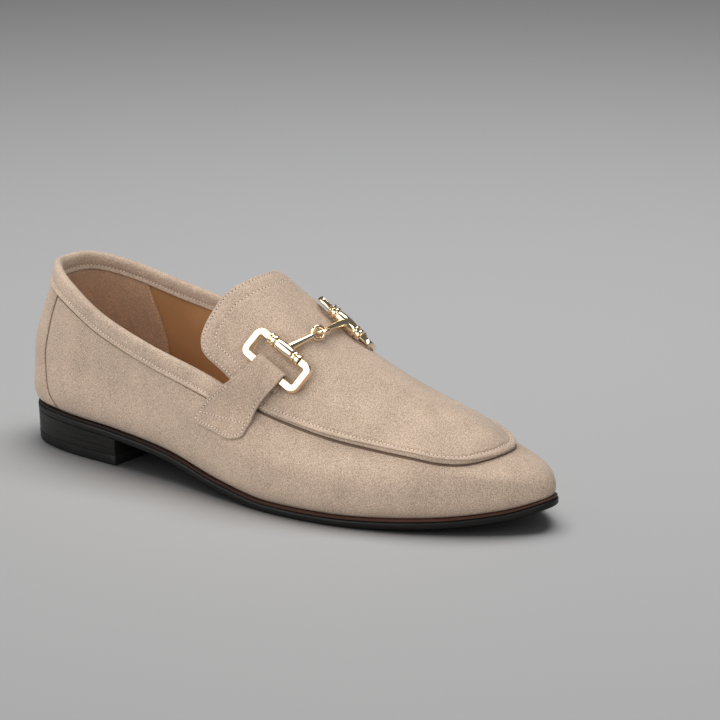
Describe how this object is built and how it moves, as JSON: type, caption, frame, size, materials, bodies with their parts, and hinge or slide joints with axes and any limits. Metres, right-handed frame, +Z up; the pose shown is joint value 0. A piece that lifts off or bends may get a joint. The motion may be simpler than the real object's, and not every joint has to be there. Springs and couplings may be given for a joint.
{
  "type": "buckle loafer",
  "caption": "Right slip-on loafer with a sewn apron and free tongue, side straps holding a two-piece snaffle bit, a thin edged sole and a low stacked heel.",
  "frame": {"origin": "middle of the shoe's plan, on the floor under it", "axes": "+X to the toe, +Y to the inner (medial) side, +Z up"},
  "size_m": [0.3006, 0.0982, 0.101],
  "materials": {
    "suede": "brushed suede, beige",
    "sole": "dyed black edge, satin",
    "welt": "dark brown edge",
    "heel": "dyed black stacked lifts",
    "top_piece": "matt black rubber",
    "lining": "smooth tan leather",
    "bit": "polished pale gold"
  },
  "bodies": {
    "root": {"outsole": "sole", "welt": "welt", "heel_stack": "heel", "heel_top_piece": "top_piece", "insole": "lining", "upper": "suede", "apron": "suede", "collar_binding": "suede", "counter": "suede", "strap_lateral": "suede", "strap_medial": "suede", "bit_ring_lateral": "bit", "bit_ring_medial": "bit", "bit_bar_lateral": "bit", "bit_bar_medial": "bit"}
  },
  "joints": []
}
